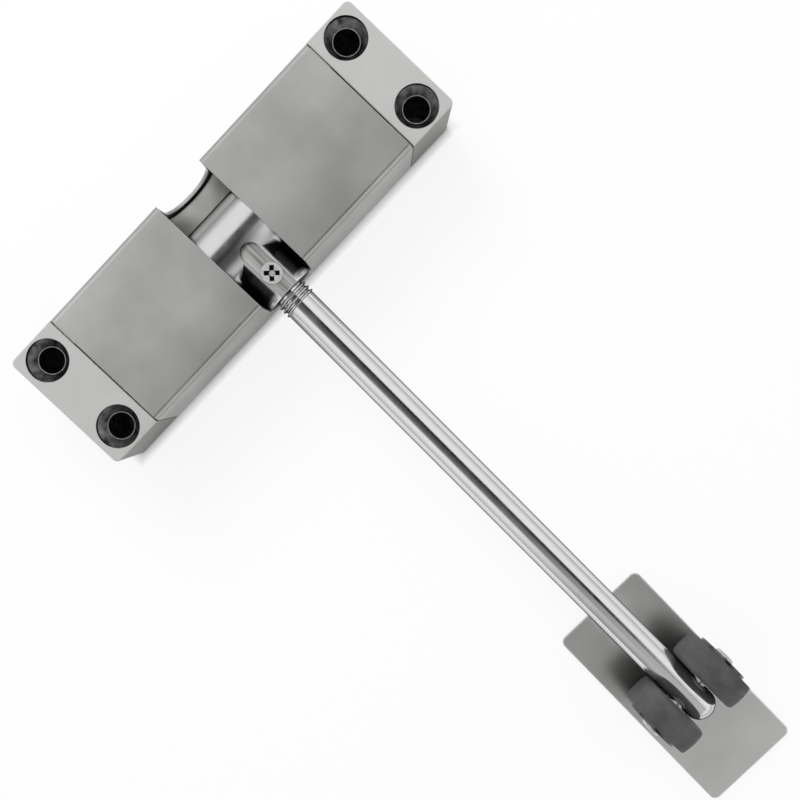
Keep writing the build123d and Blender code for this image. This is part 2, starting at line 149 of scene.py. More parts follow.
world = bpy.data.worlds.new("light_tent")
world.use_nodes = True
scene.world = world
tree = world.node_tree
tree.nodes.clear()
direction = node(tree, "ShaderNodeTexCoord").outputs["Generated"]
towards = node(tree, "ShaderNodeSeparateXYZ", {"Vector": direction}).outputs


def soft_patch(tree, places, edges_x, edges_y):
    """1 in a patch between its two inner edges along X and Y, and 0 beyond its outer ones."""
    inside = 1.0
    for axis, (start, full, fade, end) in (("X", edges_x), ("Y", edges_y)):
        for far, near in ((start, full), (end, fade)):
            limits = {"Value": places[axis], "From Min": far, "From Max": near}
            ramp = node(tree, "ShaderNodeMapRange", limits, interpolation_type="SMOOTHSTEP")
            both = {0: inside, 1: ramp.outputs[0]}
            inside = node(tree, "ShaderNodeMath", both, operation="MULTIPLY").outputs[0]
    return inside


panel = soft_patch(tree, towards, PANEL_X, PANEL_Y)
opening = soft_patch(tree, towards, OPENING_X, OPENING_Y)
tail = soft_patch(tree, towards, TAIL_X, TAIL_Y)
print(f"{len(tree.nodes)} nodes shape the tent")

# %% [markdown]
# The opening is not evenly dark: towards -X it lets in some light. The tent is white above and
# greyer towards the floor, which gives the bends of the sheet a darker side. The camera itself
# sees plain white behind the floor, so that the floor has no visible end.

# %% Shades of the tent
PLAIN_WHITE = linear("#FFFFFF")
TENT_WHITE = linear("#FAFAFA")
PANEL_GREY = linear("#C4C4C4")
OPENING_PALE = linear("#7C7C7C")
OPENING_DARK = linear("#141414")
PALE_TO_DARK_X = (-0.55, 0.22)
HORIZON_LIGHT = 0.5
FULL_LIGHT_Z = 0.6

limits = {"Value": towards["X"], "From Min": PALE_TO_DARK_X[0], "From Max": PALE_TO_DARK_X[1]}
slant = node(tree, "ShaderNodeMapRange", limits).outputs[0]
shades = {"Factor": slant, COLOUR_A: OPENING_PALE, COLOUR_B: OPENING_DARK}
opening_shade = node(tree, "ShaderNodeMix", shades, data_type="RGBA").outputs[COLOUR_OUT]
shade = TENT_WHITE
for patch, patch_shade in ((panel, PANEL_GREY), (opening, opening_shade), (tail, OPENING_DARK)):
    shades = {"Factor": patch, COLOUR_A: shade, COLOUR_B: patch_shade}
    shade = node(tree, "ShaderNodeMix", shades, data_type="RGBA").outputs[COLOUR_OUT]
limits = {"Value": towards["Z"], "From Max": FULL_LIGHT_Z, "To Min": HORIZON_LIGHT}
height = node(tree, "ShaderNodeMapRange", limits).outputs[0]
tent = node(tree, "ShaderNodeBackground", {"Color": shade, "Strength": height}).outputs[0]
backdrop = {"Color": PLAIN_WHITE, "Strength": 1.0}
backdrop = node(tree, "ShaderNodeBackground", backdrop).outputs[0]
to_eye = node(tree, "ShaderNodeLightPath").outputs["Is Camera Ray"]
room = node(tree, "ShaderNodeMixShader", {0: to_eye, 1: tent, 2: backdrop}).outputs[0]
node(tree, "ShaderNodeOutputWorld", {"Surface": room})
print("white of the tent", [round(c, 3) for c in TENT_WHITE[:3]])

# %% [markdown]
# One soft lamp stands behind the housing, so that the floor before the housing, which its front
# side mirrors, lies in shade. Metal does not mirror the lamp itself, because the tent already
# gives all the reflections.

# %% Lamp behind the housing
LAMP_PLACE = Vector((0.12, 0.5, 0.5))
LAMP_TARGET = Vector((0.0, -0.08, 0.0))
LAMP_SIZE = 0.4
LAMP_POWER = 2.6

lamp_data = bpy.data.lights.new("soft_lamp", "AREA")
lamp_data.shape = "DISK"
lamp_data.size = LAMP_SIZE
lamp_data.energy = LAMP_POWER
lamp = bpy.data.objects.new("soft_lamp", lamp_data)
lamp.location = LAMP_PLACE
lamp.visible_glossy = False
lamp.rotation_euler = (LAMP_TARGET - LAMP_PLACE).to_track_quat("-Z", "Y").to_euler()
scene.collection.objects.link(lamp)
print(f"lamp {1000 * (LAMP_TARGET - LAMP_PLACE).length:.0f} mm from the arm's middle")

# %% [markdown]
# ## Floor
# The floor is one large disc of matt white paper just under the mounting face. Part of what the
# camera and the polished pieces see of it is plain white, so that it reads as a white sweep, and
# the rest takes the light, so that it keeps the closer's shadow. Far from the closer it is all
# plain white, like the backdrop. Under the housing the paper only takes light, or it would glow
# through the screw holes, and the housing's sides mirror the shaded paper beside them.

# %% Floor disc
FLOOR_RADIUS = 2.5
FLOOR_DROP = 0.0003
FLOOR_SEGMENTS = 96

floor_mesh = bpy.data.meshes.new("floor")
bm = bmesh.new()
bmesh.ops.create_circle(bm, cap_ends=True, radius=FLOOR_RADIUS, segments=FLOOR_SEGMENTS)
bmesh.ops.translate(bm, verts=bm.verts, vec=(0.0, 0.0, -FLOOR_DROP))
bm.to_mesh(floor_mesh)
bm.free()
floor = bpy.data.objects.new("floor", floor_mesh)
scene.collection.objects.link(floor)
print(f"floor {2 * FLOOR_RADIUS:.0f} m across")

# %% How far the paper lies from the housing
SEEN_FADE = 0.003
MIRRORED_FADE = 0.05

paper = bpy.data.materials.new("white_paper_sweep")
paper.use_nodes = True
tree = paper.node_tree
tree.nodes.clear()
place = node(tree, "ShaderNodeTexCoord").outputs["Object"]
housing_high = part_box("housing_casting")[1]
quarter = node(tree, "ShaderNodeVectorMath", {0: place}, operation="ABSOLUTE").outputs[0]
beside = {0: quarter, 1: housing_high}
beside = node(tree, "ShaderNodeVectorMath", beside, operation="SUBTRACT").outputs[0]
beside = node(tree, "ShaderNodeSeparateXYZ", {"Vector": beside}).outputs
nearest = {0: beside["X"], 1: beside["Y"]}
nearest = node(tree, "ShaderNodeMath", nearest, operation="MAXIMUM").outputs[0]
limits = {"Value": nearest, "From Max": SEEN_FADE}
clear_to_eye = node(tree, "ShaderNodeMapRange", limits).outputs[0]
limits = {"Value": nearest, "From Max": MIRRORED_FADE}
clear_to_mirror = node(tree, "ShaderNodeMapRange", limits, interpolation_type="SMOOTHSTEP")
clear_to_mirror = clear_to_mirror.outputs[0]
print(f"housing ends {1000 * housing_high.x:.0f} mm to each side")

# %% White share of the paper
PAPER_WHITE = linear("#FAFAFA")
WHITE_SHARES = (0.85, 1.0)
SWEEP_REACH = (0.15, 0.7)

limits = {"Value": nearest, "From Min": SWEEP_REACH[0], "From Max": SWEEP_REACH[1]}
limits = {**limits, "To Min": WHITE_SHARES[0], "To Max": WHITE_SHARES[1]}
whiteness = node(tree, "ShaderNodeMapRange", limits).outputs[0]
rays = node(tree, "ShaderNodeLightPath").outputs
eye = {0: rays["Is Camera Ray"], 1: rays["Is Transmission Ray"]}
eye = node(tree, "ShaderNodeMath", eye, operation="ADD", use_clamp=True).outputs[0]
eye = node(tree, "ShaderNodeMath", {0: eye, 1: clear_to_eye}, operation="MULTIPLY").outputs[0]
mirror = {0: rays["Is Glossy Ray"], 1: clear_to_mirror, 2: eye}
seen = node(tree, "ShaderNodeMath", mirror, operation="MULTIPLY_ADD", use_clamp=True).outputs[0]
share = node(tree, "ShaderNodeMath", {0: seen, 1: whiteness}, operation="MULTIPLY").outputs[0]
matt = node(tree, "ShaderNodeBsdfDiffuse", {"Color": PAPER_WHITE})
white = node(tree, "ShaderNodeEmission", {"Color": PLAIN_WHITE, "Strength": 1.0})
sweep = node(tree, "ShaderNodeMixShader", {0: share, 1: matt.outputs[0], 2: white.outputs[0]})
node(tree, "ShaderNodeOutputMaterial", {"Surface": sweep.outputs[0]})
floor_mesh.materials.append(paper)
print(paper.name)

# %% [markdown]
# ## Finishes
# Each finish below is one material, named for what the real one is. `blank` starts it with the
# piece's own coordinates, the cells add the patterns, and `coat` ends it with the shader that the
# patterns feed. Noise keeps to the middle of its range, so `DRAWN_OUT` stretches that middle where
# a pattern has to reach both of its ends.

# %% Start and end of a finish
DRAWN_OUT = {"From Min": 0.3, "From Max": 0.7}


def blank(name):
    """A new material without nodes: the material, its tree and the piece's own coordinates."""
    made = bpy.data.materials.new(name)
    made.use_nodes = True
    made.node_tree.nodes.clear()
    coordinates = node(made.node_tree, "ShaderNodeTexCoord").outputs["Object"]
    return made, made.node_tree, coordinates


def coat(tree, sockets):
    """Ends a material with its shader and its output."""
    shader = node(tree, "ShaderNodeBsdfPrincipled", sockets)
    node(tree, "ShaderNodeOutputMaterial", {"Surface": shader.outputs[0]})


print("a finish runs from its coordinates to its coat")

# %% [markdown]
# Two patterns come up more than once. Scratches, turning marks and scuffs are noise that is drawn
# out in one direction. Dirt in a hole, and the painted shade in the set screw's cross, go by the
# distance from the axis.

# %% Patterns that several finishes share
def streaks(tree, place, streak, detail):
    """Noise with features of the three given sizes along X, Y and Z, in millimetres."""
    stretch = {"Vector": place, "Scale": [per_mm(size) for size in streak]}
    along = node(tree, "ShaderNodeMapping", stretch).outputs[0]
    drawn = {"Vector": along, "Scale": 1.0, "Detail": detail}
    return node(tree, "ShaderNodeTexNoise", drawn).outputs["Fac"]


def axis_distance(tree, place, centre):
    """How far a place is from the upright line through centre."""
    offset = {0: place, 1: centre}
    offset = node(tree, "ShaderNodeVectorMath", offset, operation="SUBTRACT").outputs[0]
    level = {0: offset, 1: (1.0, 1.0, 0.0)}
    level = node(tree, "ShaderNodeVectorMath", level, operation="MULTIPLY").outputs[0]
    return node(tree, "ShaderNodeVectorMath", {0: level}, operation="LENGTH").outputs["Value"]


print(f"marks 0.5 mm wide have a scale of {per_mm(0.5):.0f}")

# %% [markdown]
# ### Satin nickel on zinc casting
# The housing is a zinc die casting, tumbled and plated with satin nickel. It is the palest of the
# satin surfaces: the tumbled grain under the plating scatters light widely, and there are soft
# clouds in it a few millimetres across. The grain of about 0.1 mm is too fine for the render, so
# it is drawn at 0.35 mm. Two places differ. The screw holes were cut by a tool, which leaves a
# smooth cone with fine rings, in which dirt gathers in patches of 2 or 3 mm. The inside of the
# casting stays as it came from the mould, darker, with painted shade on the arm's side and a
# painted black shadow close under the sheet's far edge. All of these are told apart by where they
# are on the casting.

# %% Where the casting is cut and where it stays raw
HOLE_PLACE = (0.0619, 0.01365, 0.0)
SINK_RADIUS = 0.0063
RAW_HALF = 0.05315
RING_SPACING = 0.0004

satin_casting, tree, place = blank("satin_nickel_casting")
quarter = node(tree, "ShaderNodeVectorMath", {0: place}, operation="ABSOLUTE").outputs[0]
reach = axis_distance(tree, quarter, HOLE_PLACE)
cut = node(tree, "ShaderNodeMath", {0: reach, 1: SINK_RADIUS}, operation="LESS_THAN").outputs[0]
along = node(tree, "ShaderNodeSeparateXYZ", {"Vector": quarter}).outputs["X"]
raw = node(tree, "ShaderNodeMath", {0: along, 1: RAW_HALF}, operation="LESS_THAN").outputs[0]
turns = {0: reach, 1: math.tau / RING_SPACING}
turns = node(tree, "ShaderNodeMath", turns, operation="MULTIPLY").outputs[0]
rings = node(tree, "ShaderNodeMath", {0: turns}, operation="SINE").outputs[0]
print(f"cut within {1000 * SINK_RADIUS:.1f} mm of a hole")
print(f"raw within {1000 * RAW_HALF:.1f} mm of the middle")

# %% [markdown]
# The tones come next. The top is the palest, and the upright sides are painted a shade darker,
# which is painted shade; the way that the surface faces tells these two apart.

# %% Tones of the plated outside
TOP_TONES = (linear("#DEDEDC"), linear("#EAEAE8"))
PAINTED_SIDE_SHADE = linear("#9A9A98")
CASTING_CLOUDS = 9.0

clouds = {"Vector": place, "Scale": per_mm(CASTING_CLOUDS), "Detail": 4.0}
clouds = node(tree, "ShaderNodeTexNoise", clouds).outputs["Fac"]
tint = {"Factor": clouds, COLOUR_A: TOP_TONES[0], COLOUR_B: TOP_TONES[1]}
top = node(tree, "ShaderNodeMix", tint, data_type="RGBA").outputs[COLOUR_OUT]
# Painted shade: faces that turn from up towards the side take the darker side tone.
facing = node(tree, "ShaderNodeTexCoord").outputs["Normal"]
facing = node(tree, "ShaderNodeSeparateXYZ", {"Vector": facing}).outputs["Z"]
tint = {"Factor": facing, COLOUR_A: PAINTED_SIDE_SHADE, COLOUR_B: top}
plated_with_side_shade = node(tree, "ShaderNodeMix", tint, data_type="RGBA").outputs[COLOUR_OUT]
print(f"clouds about {CASTING_CLOUDS:.0f} mm across")

# %% [markdown]
# Inside, the tone changes along Y: from painted shade beside the arm to the bare skin of the
# mould, and at the far edge from there to a painted black shadow.

# %% Tones of the raw inside
ARM_SIDE_PAINTED_SHADE = linear("#3C3C3A")
MOULD_TONE = linear("#C4C4C2")
FAR_EDGE_PAINTED_SHADOW = linear("#141412")
SHADE_TO_MOULD_Y = (-0.004, 0.009)
MOULD_TO_SHADOW_Y = (0.0190, 0.0194)

depth = node(tree, "ShaderNodeSeparateXYZ", {"Vector": place}).outputs["Y"]
# Painted shade: the dark tone beside the arm and the black tone close under the sheet's far edge are
# painted shadow.
inside = ARM_SIDE_PAINTED_SHADE
for next_tone, edges in ((MOULD_TONE, SHADE_TO_MOULD_Y), (FAR_EDGE_PAINTED_SHADOW, MOULD_TO_SHADOW_Y)):
    limits = {"Value": depth, "From Min": edges[0], "From Max": edges[1]}
    change = node(tree, "ShaderNodeMapRange", limits).outputs[0]
    tint = {"Factor": change, COLOUR_A: inside, COLOUR_B: next_tone}
    inside = node(tree, "ShaderNodeMix", tint, data_type="RGBA").outputs[COLOUR_OUT]
print(f"dirt from {1000 * MOULD_TO_SHADOW_Y[0]:.1f} mm behind the hub's axis")

# %% Dirt in the screw holes, and the three tones together
CUT_TONES = (linear("#3E3E3E"), linear("#A2A2A2"))
DIRT_SIZE = 2.5

dirt = {"Vector": place, "Scale": per_mm(DIRT_SIZE), "Detail": 3.0}
dirt = node(tree, "ShaderNodeTexNoise", dirt).outputs["Fac"]
wiped = node(tree, "ShaderNodeMapRange", {"Value": dirt, **DRAWN_OUT}).outputs[0]
tint = {"Factor": wiped, COLOUR_A: CUT_TONES[0], COLOUR_B: CUT_TONES[1]}
cone = node(tree, "ShaderNodeMix", tint, data_type="RGBA").outputs[COLOUR_OUT]
tint = {"Factor": raw, COLOUR_A: plated_with_side_shade, COLOUR_B: inside}
cast = node(tree, "ShaderNodeMix", tint, data_type="RGBA").outputs[COLOUR_OUT]
tint = {"Factor": cut, COLOUR_A: cast, COLOUR_B: cone}
tone = node(tree, "ShaderNodeMix", tint, data_type="RGBA").outputs[COLOUR_OUT]
print("casting has", len(tree.nodes), "nodes so far")

# %% Gloss and grain of the casting
TUMBLED_ROUGH = (0.52, 0.6)
RAW_ROUGH = 0.38
CUT_ROUGH = 0.3
GRAIN_SIZE = 0.35
GRAIN_DEPTH = 0.00004

limits = {"Value": clouds, **DRAWN_OUT, "To Min": TUMBLED_ROUGH[0], "To Max": TUMBLED_ROUGH[1]}
tumbled = node(tree, "ShaderNodeMapRange", limits).outputs[0]
gloss = node(tree, "ShaderNodeMix", {0: raw, VALUE_A: tumbled, VALUE_B: RAW_ROUGH}).outputs[0]
gloss = node(tree, "ShaderNodeMix", {0: cut, VALUE_A: gloss, VALUE_B: CUT_ROUGH}).outputs[0]
grain = {"Vector": place, "Scale": per_mm(GRAIN_SIZE), "Detail": 2.0}
grain = node(tree, "ShaderNodeTexNoise", grain).outputs["Fac"]
relief = node(tree, "ShaderNodeMix", {0: cut, VALUE_A: grain, VALUE_B: rings}).outputs[0]
bump = {"Height": relief, "Strength": 0.2, "Distance": GRAIN_DEPTH}
bump = node(tree, "ShaderNodeBump", bump).outputs[0]
coat(tree, {"Base Color": tone, "Metallic": 1.0, "Roughness": gloss, "Normal": bump})
print(satin_casting.name)

# %% [markdown]
# ### Brushed stainless sheet
# The cover and the wear plate are stainless sheet with a fine satin brushing. Light runs along the
# scratches, which gives long soft streaks, and a film from handling leaves faint clouds. Real
# scratches are a few hundredths of a millimetre wide, so they are drawn 0.3 mm wide and shallow.
# The bends, which face neither up nor sideways, are painted darker as painted shade. On the
# plate, the two rollers have rubbed dark tracks on the side of the housing, towards which they
# roll, and these tracks also hold a painted reflection of the rollers' shaded backs.

# %% Tones of brushed sheet
PAINTED_BEND_SHADE = linear("#9A9A98")
TRACK_AND_REFLECTION_TONE = linear("#A4A4A2")


def sheet_tone(tree, place, clouds, tones, tracks_and_reflections):
    """Colour of the sheet: clouds between two tones, then painted shade on the bends, then each
    roller's rubbed track with its painted reflection.
    """
    film_and_painted_shade = node(tree, "ShaderNodeMapRange", {"Value": clouds, **DRAWN_OUT}).outputs[0]
    tint = {"Factor": film_and_painted_shade, COLOUR_A: linear(tones[0]), COLOUR_B: linear(tones[1])}
    tone = node(tree, "ShaderNodeMix", tint, data_type="RGBA").outputs[COLOUR_OUT]
    facing = node(tree, "ShaderNodeTexCoord").outputs["Normal"]
    facing = node(tree, "ShaderNodeSeparateXYZ", {"Vector": facing}).outputs["Z"]
    # From 1 on level and upright faces down to 0 in the middle of a bend
    slope = {0: facing, 1: 2.0, 2: -1.0}
    slope = node(tree, "ShaderNodeMath", slope, operation="MULTIPLY_ADD").outputs[0]
    plain = node(tree, "ShaderNodeMath", {0: slope}, operation="ABSOLUTE").outputs[0]
    # Painted shade: the bends take the darker bend tone.
    tint = {"Factor": plain, COLOUR_A: PAINTED_BEND_SHADE, COLOUR_B: tone}
    tone = node(tree, "ShaderNodeMix", tint, data_type="RGBA").outputs[COLOUR_OUT]
    spot = node(tree, "ShaderNodeSeparateXYZ", {"Vector": place}).outputs
    # Each patch is partly a rubbed track and partly a painted reflection of the roller's shaded
    # back.
    for track_and_reflection_x, track_and_reflection_y in tracks_and_reflections:
        rubbed_and_reflected = soft_patch(tree, spot, track_and_reflection_x, track_and_reflection_y)
        tint = {"Factor": rubbed_and_reflected, COLOUR_A: tone, COLOUR_B: TRACK_AND_REFLECTION_TONE}
        tone = node(tree, "ShaderNodeMix", tint, data_type="RGBA").outputs[COLOUR_OUT]
    return tone


print("bends of the sheet", [round(c, 3) for c in PAINTED_BEND_SHADE[:3]])

# %% [markdown]
# The cut edges of the sheet are worn round, which the Bevel node gives to the shading. Scratches
# and clouds share in how rough the sheet is, a little to each side of its mean.

# %% Brushed cover
SHEET_CLOUDS = 24.0
SHEET_SPREAD = (0.85, 1.15)
EDGE_WEAR = 0.0004
BRUSH_DEPTH = 0.00003


def brushed_sheet(name, tones, rough, streak, tracks_and_reflections=()):
    """Satin sheet, brushed along the direction in which streak is longest, in millimetres."""
    made, tree, place = blank(name)
    scratches = streaks(tree, place, streak, detail=3.0)
    clouds = {"Vector": place, "Scale": per_mm(SHEET_CLOUDS), "Detail": 5.0}
    clouds = node(tree, "ShaderNodeTexNoise", clouds).outputs["Fac"]
    tone = sheet_tone(tree, place, clouds, tones, tracks_and_reflections)
    wear = node(tree, "ShaderNodeMix", {0: 0.5, VALUE_A: scratches, VALUE_B: clouds}).outputs[0]
    low, high = [share * rough for share in SHEET_SPREAD]
    limits = {"Value": wear, **DRAWN_OUT, "To Min": low, "To Max": high}
    gloss = node(tree, "ShaderNodeMapRange", limits).outputs[0]
    worn_edge = node(tree, "ShaderNodeBevel", {"Radius": EDGE_WEAR}, samples=4).outputs[0]
    bump = {"Height": scratches, "Strength": 0.12, "Distance": BRUSH_DEPTH, "Normal": worn_edge}
    bump = node(tree, "ShaderNodeBump", bump).outputs[0]
    coat(tree, {"Base Color": tone, "Metallic": 1.0, "Roughness": gloss, "Normal": bump})
    return made


cover_sheet = brushed_sheet(
    "brushed_stainless_cover",
    tones=("#B8B8B6", "#D4D4D2"),
    rough=0.32,
    streak=(9.0, 0.3, 0.3),
)
print(cover_sheet.name)

# %% Brushed plate with the rollers' tracks and their painted reflection
TRACK_AND_REFLECTION_Y = (-0.200, -0.190, -0.180, -0.1685)
LEFT_TRACK_AND_REFLECTION_X = (-0.0220, -0.0160, -0.0120, -0.0075)
RIGHT_TRACK_AND_REFLECTION_X = (-0.0040, -0.0010, 0.0010, 0.0090)

plate_sheet = brushed_sheet(
    "brushed_stainless_plate",
    tones=("#E0E0DE", "#F0F0EE"),
    rough=0.33,
    streak=(0.3, 9.0, 0.3),
    tracks_and_reflections=((LEFT_TRACK_AND_REFLECTION_X, TRACK_AND_REFLECTION_Y), (RIGHT_TRACK_AND_REFLECTION_X, TRACK_AND_REFLECTION_Y)),
)
print(plate_sheet.name)

# %% [markdown]
# ### Bright chrome
# The rod and the hub are chromed steel. Chrome is a mirror with a trace of haze, and on a turned
# rod the haze runs in faint lines round it. Seen along its surface, chrome mirrors a little less,
# which the dark specular tint gives. The hub was only rough turned before it was plated, so it is
# hazier than the rod.

# %% Chrome of the rod
CHROME_EDGE = linear("#404040")
SMEAR_SIZE = 5.0
HAZE_SPREAD = (0.7, 1.4)
TURNING_DEPTH = 0.00003


def turned_chrome(tree, place, haze, streak):
    """Roughness and normal of chrome over turning marks of the given size in millimetres."""
    marks = streaks(tree, place, streak, detail=3.0)
    smears = {"Vector": place, "Scale": per_mm(SMEAR_SIZE), "Detail": 3.0}
    smears = node(tree, "ShaderNodeTexNoise", smears).outputs["Fac"]
    low, high = [share * haze for share in HAZE_SPREAD]
    limits = {"Value": smears, **DRAWN_OUT, "To Min": low, "To Max": high}
    gloss = node(tree, "ShaderNodeMapRange", limits).outputs[0]
    bump = {"Height": marks, "Strength": 0.12, "Distance": TURNING_DEPTH}
    return gloss, node(tree, "ShaderNodeBump", bump).outputs[0]


rod_chrome, tree, place = blank("bright_chrome_rod")
gloss, bump = turned_chrome(tree, place, haze=0.13, streak=(3.0, 0.5, 3.0))
mirror = {"Base Color": linear("#E4E4E4"), "Metallic": 1.0, "Specular Tint": CHROME_EDGE}
coat(tree, {**mirror, "Roughness": gloss, "Normal": bump})
print(rod_chrome.name)

# %% [markdown]
# The land on top of the hub's boss was milled after plating, so it is bare, satin and pale, where
# the round sides of the boss mirror the dark walls of the window. It is told from the rest by its
# width, by how far it is from the hub's axis, and by its height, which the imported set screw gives.

# %% Where the milled land is
LAND_HALF = 0.00321
LAND_START_Y = -0.0041
LAND_BELOW_SCREW = 0.00062
LAND_FALL = 0.00026

hub_chrome, tree, place = blank("satin_chrome_hub")
spot = node(tree, "ShaderNodeSeparateXYZ", {"Vector": place}).outputs
screw_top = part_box("arm_set_screw")[1].z
middle = node(tree, "ShaderNodeMath", {0: spot["X"]}, operation="ABSOLUTE").outputs[0]
narrow = {0: middle, 1: LAND_HALF}
narrow = node(tree, "ShaderNodeMath", narrow, operation="LESS_THAN").outputs[0]
forward = {0: spot["Y"], 1: LAND_START_Y}
forward = node(tree, "ShaderNodeMath", forward, operation="LESS_THAN").outputs[0]
level = {0: spot["Z"], 1: screw_top - LAND_BELOW_SCREW, 2: LAND_FALL}
level = node(tree, "ShaderNodeMath", level, operation="COMPARE").outputs[0]
land = node(tree, "ShaderNodeMath", {0: narrow, 1: forward}, operation="MULTIPLY").outputs[0]
land = node(tree, "ShaderNodeMath", {0: land, 1: level}, operation="MULTIPLY").outputs[0]
print(f"land {2000 * LAND_HALF:.1f} mm wide")

# %% [markdown]
# The cutter left streaks along its path on the land. The barrel has two painted patches: a dark
# one behind the land, thicker to the left, which is a painted reflection, and a lighter one along
# the far side, which is painted shade.

# %% Tones of the hub
LAND_TONES = (linear("#8C8C8A"), linear("#FAFAF8"))
LAND_STREAK = (1.0, 25.0, 25.0)
PAINTED_DARK_REFLECTION = linear("#606060")
DARK_REFLECTION_X = (-0.014, -0.009, -0.004, 0.013)
DARK_REFLECTION_Y = (-0.0078, -0.0050, -0.0028, -0.0012)
# Painted shade along the barrel's far side, under the sheet's edge.
PAINTED_FAR_SHADE = linear("#A8A8A6")
FAR_SHADE_X = (-0.030, -0.025, 0.025, 0.030)
FAR_SHADE_Y = (0.0040, 0.0072, 0.011, 0.012)

path = streaks(tree, place, LAND_STREAK, detail=2.0)
path = node(tree, "ShaderNodeMapRange", {"Value": path, **DRAWN_OUT}).outputs[0]
tint = {"Factor": path, COLOUR_A: LAND_TONES[0], COLOUR_B: LAND_TONES[1]}
milled = node(tree, "ShaderNodeMix", tint, data_type="RGBA").outputs[COLOUR_OUT]
barrel = linear("#DCDCDC")
dark_reflection = (PAINTED_DARK_REFLECTION, DARK_REFLECTION_X, DARK_REFLECTION_Y)
far_shade = (PAINTED_FAR_SHADE, FAR_SHADE_X, FAR_SHADE_Y)
# Painted light: the dark patch is a painted reflection of the dark opening, and the lighter one
# painted shade along the far side.
for film_and_painted_shade, painted_x, painted_y in (dark_reflection, far_shade):
    painted_part = soft_patch(tree, spot, painted_x, painted_y)
    tint = {"Factor": painted_part, COLOUR_A: barrel, COLOUR_B: film_and_painted_shade}
    barrel = node(tree, "ShaderNodeMix", tint, data_type="RGBA").outputs[COLOUR_OUT]
tint = {"Factor": land, COLOUR_A: barrel, COLOUR_B: milled}
tone = node(tree, "ShaderNodeMix", tint, data_type="RGBA").outputs[COLOUR_OUT]
print("hub has", len(tree.nodes), "nodes so far")

# %% Gloss of the hub
LAND_ROUGH = 0.42

gloss, bump = turned_chrome(tree, place, haze=0.18, streak=(0.5, 3.0, 3.0))
gloss = node(tree, "ShaderNodeMix", {0: land, VALUE_A: gloss, VALUE_B: LAND_ROUGH}).outputs[0]
mirror = {"Base Color": tone, "Metallic": 1.0, "Specular Tint": CHROME_EDGE}
coat(tree, {**mirror, "Roughness": gloss, "Normal": bump})
print(hub_chrome.name)

# %% [markdown]
# ### Plated steel, spring steel and bronze
# The axle, washers and screws are zinc-plated steel, duller than chrome, and the thin washers have
# lost most of their shine. The springs and the collars' set screws are oiled spring steel, and the
# hub's bushes are sintered bronze with fine open pores.

# %% Steel and bronze
WORN_SPREAD = (0.8, 1.2)


def worn_metal(tree, place, tones, rough, mottle, depth):
    """Sockets of metal with patches of mottle millimetres and a relief of depth metres."""
    patches = {"Vector": place, "Scale": per_mm(mottle), "Detail": 4.0}
    patches = node(tree, "ShaderNodeTexNoise", patches).outputs["Fac"]
    tint = {"Factor": patches, COLOUR_A: linear(tones[0]), COLOUR_B: linear(tones[1])}
    tone = node(tree, "ShaderNodeMix", tint, data_type="RGBA").outputs[COLOUR_OUT]
    low, high = [share * rough for share in WORN_SPREAD]
    limits = {"Value": patches, **DRAWN_OUT, "To Min": low, "To Max": high}
    gloss = node(tree, "ShaderNodeMapRange", limits).outputs[0]
    bump = {"Height": patches, "Strength": 0.2, "Distance": depth}
    bump = node(tree, "ShaderNodeBump", bump).outputs[0]
    return {"Base Color": tone, "Metallic": 1.0, "Roughness": gloss, "Normal": bump}


washer_zinc, tree, place = blank("dull_zinc_washer")
wear = {"tones": ("#505050", "#727272"), "rough": 0.24, "mottle": 1.5, "depth": 0.00002}
coat(tree, worn_metal(tree, place, **wear))
plated_steel, tree, place = blank("zinc_plated_steel")
wear = {"tones": ("#B4B4B4", "#D0D0D0"), "rough": 0.28, "mottle": 1.5, "depth": 0.00002}
coat(tree, worn_metal(tree, place, **wear))
spring_steel, tree, place = blank("oiled_spring_steel")
wear = {"tones": ("#8A8B8E", "#A6A7AA"), "rough": 0.36, "mottle": 2.5, "depth": 0.00003}
coat(tree, worn_metal(tree, place, **wear))
bronze, tree, place = blank("sintered_bronze")
wear = {"tones": ("#BFA274", "#D8BE94"), "rough": 0.45, "mottle": 0.6, "depth": 0.00006}
coat(tree, worn_metal(tree, place, **wear))
print(washer_zinc.name, plated_steel.name, spring_steel.name, bronze.name)

# %% [markdown]
# The set screw's head is bright zinc, and the arms of the cross cut into it are painted dark as
# painted shade: what lies lower than the head's face is dark, but for the middle, which keeps the
# head's tone.

# %% Set screw with painted shade in its cross
PAINTED_RECESS_SHADE = linear("#202020")
RECESS_SHADE_DEPTH = 0.0005
TIP_RADIUS = 0.0009

screw_zinc, tree, place = blank("bright_zinc_screw")
wear = {"tones": ("#DCDCDC", "#F0F0F0"), "rough": 0.5, "mottle": 1.0, "depth": 0.00003}
sockets = worn_metal(tree, place, **wear)
height = node(tree, "ShaderNodeSeparateXYZ", {"Vector": place}).outputs["Z"]
deep = {0: height, 1: screw_top - RECESS_SHADE_DEPTH}
deep = node(tree, "ShaderNodeMath", deep, operation="LESS_THAN").outputs[0]
screw_low, screw_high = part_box("arm_set_screw")
reach = axis_distance(tree, place, (screw_low + screw_high) / 2)
arms = {0: reach, 1: TIP_RADIUS}
arms = node(tree, "ShaderNodeMath", arms, operation="GREATER_THAN").outputs[0]
# Painted shade: the cross's arms below the head's face are darkened.
shaded_recess = node(tree, "ShaderNodeMath", {0: deep, 1: arms}, operation="MULTIPLY").outputs[0]
tint = {"Factor": shaded_recess, COLOUR_A: sockets["Base Color"], COLOUR_B: PAINTED_RECESS_SHADE}
sockets["Base Color"] = node(tree, "ShaderNodeMix", tint, data_type="RGBA").outputs[COLOUR_OUT]
coat(tree, sockets)
print(f"grease below {1000 * (screw_top - RECESS_SHADE_DEPTH):.1f} mm")

